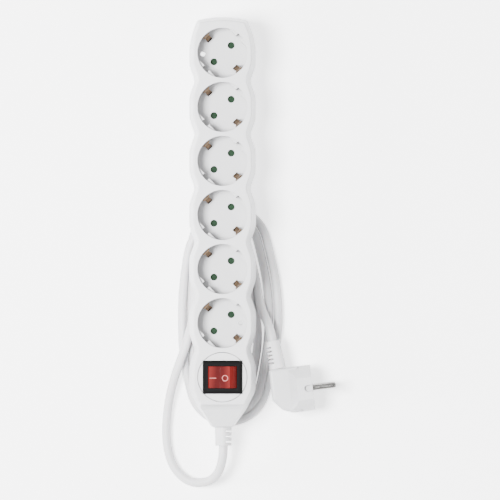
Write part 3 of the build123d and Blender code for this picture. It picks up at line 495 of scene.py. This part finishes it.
# ---------------------------------------------------------------- the lead's route, in millimetres
REST_Z = SURFACE_Z / MM
LAYER_LOW = REST_Z + 3.6
LAYER_HIGH = LAYER_LOW + 7.2
LOOP_ROUTE = [
    (0.6, -179.25, -11.75), (0.6, -193.25, -11.75), (-8.0, -209.0, REST_Z + 15.0),
    (-27.5, -210.5, REST_Z + 7.0), (-41.5, -196.5, LAYER_LOW), (-46.2, -174.0, LAYER_LOW),
    (-44.5, -148.0, LAYER_LOW + 1.6), (-39.0, -124.0, LAYER_HIGH), (-31.0, -103.0, LAYER_HIGH + 0.1),
]
TAIL_ROUTE = [
    (27.4, -48.0, LAYER_HIGH), (29.0, -60.5, LAYER_HIGH + 0.2), (32.2, -73.0, LAYER_HIGH + 2.6),
    (38.0, -84.5, -19.15), (40.1, -95.3, -19.15),
]
TOP, BOTTOM = 180.0, 0.0          # angle where a clockwise fold starts
# Each pass is a run of single points, then a fold: middle x, middle y, radius,
# starting angle, level where it starts and level where it ends.
PASSES = [
    ([(-25.0, -83.0, LAYER_HIGH), (-22.3, -65.0, LAYER_HIGH)],
     (-1.0, -47.0, 21.0, TOP, LAYER_HIGH, LAYER_HIGH)),
    ([(23.0, -62.0, LAYER_HIGH - 2.0), (27.8, -79.0, LAYER_LOW), (28.4, -97.0, LAYER_LOW),
      (26.0, -114.0, LAYER_LOW)],
     (0.6, -130.0, 21.6, BOTTOM, LAYER_LOW, LAYER_HIGH)),
    ([(-19.5, -108.0, LAYER_HIGH - 3.4), (-17.6, -88.0, LAYER_LOW), (-17.5, -48.0, LAYER_LOW)],
     (5.5, -19.5, 23.0, TOP, LAYER_LOW, LAYER_LOW)),
    ([(34.5, -42.0, LAYER_LOW), (37.3, -64.0, LAYER_LOW), (37.3, -90.0, LAYER_LOW),
      (34.2, -112.0, LAYER_LOW + 1.5)],
     (5.0, -129.0, 25.2, BOTTOM, LAYER_LOW + 3.0, LAYER_LOW)),
    ([(-24.2, -108.0, LAYER_LOW), (-25.2, -86.0, LAYER_LOW), (-25.2, -48.0, LAYER_LOW)],
     (5.5, -19.5, 30.4, TOP, LAYER_LOW, LAYER_LOW)),
    ([(42.6, -44.0, LAYER_LOW), (44.8, -66.0, LAYER_LOW), (44.8, -88.0, LAYER_LOW),
      (41.4, -112.0, LAYER_LOW)],
     (4.5, -130.2, 30.7, BOTTOM, LAYER_LOW, LAYER_LOW)),
    ([(-31.2, -112.0, LAYER_LOW), (-32.8, -88.0, LAYER_LOW), (-32.6, -58.0, LAYER_LOW + 1.0)],
     (-3.2, -27.0, 24.6, TOP, LAYER_HIGH - 2.5, LAYER_HIGH)),
]
RISE_BY = 0.5                     # part of a fold in which it changes level


def fold(middle_x, middle_y, radius, start, level_in, level_out, count):
    """Control points of one clockwise half turn."""
    step = 180.0 / (count - 1)
    reach = radius / math.cos(math.radians(step / 2))
    points = []
    for i in range(count):
        angle = math.radians(start - step * i)
        rise = min(i / (count - 1) / RISE_BY, 1.0)
        points.append((
            middle_x + reach * math.cos(angle),
            middle_y + reach * math.sin(angle),
            level_in + (level_out - level_in) * rise,
        ))
    return points


def lead_route(count):
    """Control points from the strain relief through the hank to the plug's boot."""
    points = list(LOOP_ROUTE)
    for run, turn in PASSES:
        points += run
        points += fold(*turn, count)
    return points + TAIL_ROUTE


# ---------------------------------------------------------------- operators
class POWERSTRIP_OT_stage(bpy.types.Operator):
    """Camera, floor and soft studio light"""

    bl_idname = "powerstrip.stage"
    bl_label = "Stage"

    def execute(self, context):
        settings = context.scene.strip_stage
        self.add_camera(context, settings)
        self.add_floor(context, settings)
        for name, power, place, size in LIGHTS:
            self.add_light(context, name, getattr(settings, power), place, size)
        self.add_sky(context, settings.sky)
        return {"FINISHED"}

    def add_sky(self, context, strength):
        """Even light from all round, fading near the horizon and straight overhead."""
        world = bpy.data.worlds.new("soft_sky")
        world.use_nodes = True
        sky = Nodes(world.node_tree)
        height = sky.node("SeparateXYZ", output=2, Vector=sky.node("TexCoord"))
        glow = sky.node("ValToRGB", {"stops": SKY_STOPS}, Fac=height)
        background = sky.tree.nodes["Background"]
        background.inputs["Strength"].default_value = strength
        sky.tree.links.new(glow.socket, background.inputs["Color"])
        context.scene.world = world

    def add_camera(self, context, settings):
        """A long lens straight above the socket face."""
        camera = bpy.data.cameras.new("camera")
        camera.sensor_width = SENSOR_WIDTH
        camera.lens = SENSOR_WIDTH * settings.camera_height / settings.view_width
        camera.clip_end = CAMERA_REACH
        holder = bpy.data.objects.new("camera", camera)
        holder.location = (settings.middle[0], settings.middle[1], FACE_Z + settings.camera_height)
        context.scene.collection.objects.link(holder)
        context.scene.camera = holder

    def add_floor(self, context, settings):
        """A finely divided sheet of paper, a hair below the lead."""
        mesh = bpy.data.meshes.new("floor")
        sheet = bmesh.new()
        bmesh.ops.create_grid(
            sheet, x_segments=FLOOR_CELLS, y_segments=FLOOR_CELLS, size=settings.floor_size / 2
        )
        bmesh.ops.translate(sheet, verts=sheet.verts, vec=(0, 0, SURFACE_Z - FLOOR_GAP))
        sheet.to_mesh(mesh)
        sheet.free()
        mesh.materials.append(floor_paper("floor_paper", settings.floor_colour))
        floor = bpy.data.objects.new("floor", mesh)
        context.scene.collection.objects.link(floor)

    def add_light(self, context, name, power, place, size):
        """A square soft light aimed at the middle of the part."""
        light = bpy.data.lights.new(name, "AREA")
        light.energy = power
        light.size = size
        holder = bpy.data.objects.new(name, light)
        holder.location = place
        holder.rotation_euler = (LIGHT_AIM - Vector(place)).to_track_quat("-Z", "Y").to_euler()
        context.scene.collection.objects.link(holder)


class POWERSTRIP_OT_lead(bpy.types.Operator):
    """The mains lead: loop, hank and tail as one cord"""

    bl_idname = "powerstrip.lead"
    bl_label = "Lead"

    def execute(self, context):
        settings = context.scene.strip_lead
        route = lead_route(settings.turn_points)
        curve = bpy.data.curves.new("lead", "CURVE")
        curve.dimensions = "3D"
        spline = curve.splines.new("NURBS")
        spline.points.add(len(route) - 1)
        for point, place in zip(spline.points, route):
            point.co = (*(Vector(place) * MM), 1.0)
        spline.order_u = SPLINE_ORDER
        spline.use_endpoint_u = True
        spline.resolution_u = SPLINE_STEPS
        curve.bevel_depth = settings.diameter / 2
        curve.bevel_resolution = ROUND_STEPS
        curve.use_fill_caps = True
        lead = bpy.data.objects.new("lead", curve)
        context.scene.collection.objects.link(lead)
        tint = context.scene.strip_finish.lead
        curve.materials.append(flexible("cord_sheath_vinyl", tuple(tint), 0.42, 0.25))
        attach(lead, "housing")
        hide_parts("cord_loop", "cord_hank", "cord_tail")
        return {"FINISHED"}


class POWERSTRIP_OT_housing(bpy.types.Operator):
    """Finish of the housing and its screws"""

    bl_idname = "powerstrip.housing"
    bl_label = "Housing"

    def execute(self, context):
        colours = context.scene.strip_finish
        white = moulded("housing_plastic", tuple(colours.housing), 0.36, 2600, 0.0004)
        paint(white, "top_cover", "base_shell", "switch_plate", "cord_clamp")
        steel = plated("zinc_steel", tuple(colours.steel), 0.32, (1.0, 1.0, 0.4))
        paint(steel, "case_screws", "clamp_screws", "shutter_springs", "shutter_clips")
        return {"FINISHED"}


class POWERSTRIP_OT_sockets(bpy.types.Operator):
    """Finish of the socket cups, shutters and contacts"""

    bl_idname = "powerstrip.sockets"
    bl_label = "Sockets"

    def execute(self, context):
        colours = context.scene.strip_finish
        # The cups get more painted shade, with dust, in their corners and recesses (0.45) than the housing.
        cup = moulded("cup_plastic", shade(tuple(colours.housing), 0.97), 0.33, 2600, 0.0003, 0.45)
        green = shutter_plastic("shutter_plastic", tuple(colours.shutter))
        brass = contact_metal("contact_brass", tuple(colours.brass), tuple(colours.tarnish), 0.34)
        for number in range(1, 7):
            paint(cup, f"socket_cup_{number}")
            paint(green, f"shutter_{number}")
            paint(brass, f"earth_clip_{number}")
        paint(brass, "live_busbar", "neutral_busbar", "earth_busbar", "contact_bridges",
              "switch_terminals", "wire_terminals")
        return {"FINISHED"}


class POWERSTRIP_OT_wiring(bpy.types.Operator):
    """Finish of the inner cores and the sheath's end"""

    bl_idname = "powerstrip.wiring"
    bl_label = "Wiring"

    def execute(self, context):
        paint(core("brown_core", CORE_BROWN), "wire_live_in", "wire_live_out")
        paint(core("blue_core", CORE_BLUE), "wire_neutral_in", "wire_neutral_out")
        paint(core("green_yellow_core", CORE_GREEN, CORE_YELLOW), "wire_earth")
        paint(material_named("cord_sheath_vinyl"), "cord_sheath")
        return {"FINISHED"}


class POWERSTRIP_OT_switch(bpy.types.Operator):
    """Finish of the switch, and the marks on its rocker"""

    bl_idname = "powerstrip.switch"
    bl_label = "Switch"

    def execute(self, context):
        colours = context.scene.strip_finish
        paint(satin_black("bezel_plastic", tuple(colours.bezel)), "switch_housing")
        paint(translucent_red("rocker_plastic", tuple(colours.rocker)), "switch_rocker")
        paint(lamp_glass("lamp_glass"), "neon_lamp")
        self.add_marks(context.scene.strip_marks, printed("mark_paint", tuple(colours.marks)))
        return {"FINISHED"}

    def add_marks(self, marks, paint_finish):
        """A dash on the half that is pressed for on, and a ring on the other."""
        half = marks.line_width / 2
        dash = [
            [(MARK_DASH_X + marks.dash_length * i / DASH_STEPS, MARK_Y + half * side)
             for side in (1, 0, -1)]
            for i in range(DASH_STEPS + 1)
        ]
        ring = []
        for i in range(RING_STEPS + 1):
            angle = 2 * math.pi * i / RING_STEPS
            ring.append([
                (MARK_RING_X + radius * math.cos(angle), MARK_Y + radius * math.sin(angle))
                for radius in (marks.ring_radius - half, marks.ring_radius, marks.ring_radius + half)
            ])
        for name, rows in (("on_mark", dash), ("off_mark", ring)):
            mesh = laid_on("switch_rocker", name, rows, marks.stand)
            piece = add_piece(name, mesh, "rocker", paint_finish)
            thick = piece.modifiers.new("thickness", "SOLIDIFY")
            thick.thickness = 2 * marks.stand
            thick.offset = -1


class POWERSTRIP_OT_plug(bpy.types.Operator):
    """Finish of the plug, its boot and the strain relief"""

    bl_idname = "powerstrip.plug"
    bl_label = "Plug"

    def execute(self, context):
        colours = context.scene.strip_finish
        paint(moulded("plug_plastic", tuple(colours.plug), 0.40, 1800, 0.0004), "plug_body")
        paint(flexible("boot_vinyl", tuple(colours.soft), 0.44, 1.0), "plug_boot", "strain_relief")
        paint(plated("nickel_plate", tuple(colours.pins), 0.16, (0.2, 1.0, 1.0)),
              "plug_pin_live", "plug_pin_neutral")
        paint(material_named("contact_brass"), "plug_earth_clips", "plug_earth_socket")
        return {"FINISHED"}


class POWERSTRIP_PT_panel(bpy.types.Panel):
    """Buttons for every step, and the main settings"""

    bl_idname = "POWERSTRIP_PT_panel"
    bl_label = "Power Strip"
    bl_space_type = "VIEW_3D"
    bl_region_type = "UI"
    bl_category = "Power Strip"

    def draw(self, context):
        for step in STEPS:
            self.layout.operator(step.bl_idname)
        for group in SETTINGS:
            box = self.layout.box()
            settings = getattr(context.scene, group)
            for name in settings.bl_rna.properties.keys():
                if name not in ("rna_type", "name"):
                    box.prop(settings, name)


STEPS = (
    POWERSTRIP_OT_stage, POWERSTRIP_OT_lead, POWERSTRIP_OT_housing, POWERSTRIP_OT_sockets,
    POWERSTRIP_OT_wiring, POWERSTRIP_OT_switch, POWERSTRIP_OT_plug,
)
SETTINGS = {
    "strip_stage": StageSettings,
    "strip_lead": LeadSettings,
    "strip_finish": FinishSettings,
    "strip_marks": MarkSettings,
}


def register():
    """Register every class and hang the settings on the scene."""
    for group in SETTINGS.values():
        bpy.utils.register_class(group)
    for name, group in SETTINGS.items():
        setattr(bpy.types.Scene, name, PointerProperty(type=group))
    for step in STEPS:
        bpy.utils.register_class(step)
    bpy.utils.register_class(POWERSTRIP_PT_panel)


def unregister():
    """Undo register."""
    bpy.utils.unregister_class(POWERSTRIP_PT_panel)
    for step in reversed(STEPS):
        bpy.utils.unregister_class(step)
    for name, group in SETTINGS.items():
        delattr(bpy.types.Scene, name)
        bpy.utils.unregister_class(group)


def main():
    """Make the whole scene."""
    register()
    for step in STEPS:
        group, name = step.bl_idname.split(".")
        getattr(getattr(bpy.ops, group), name)()


if __name__ == "__main__":
    main()
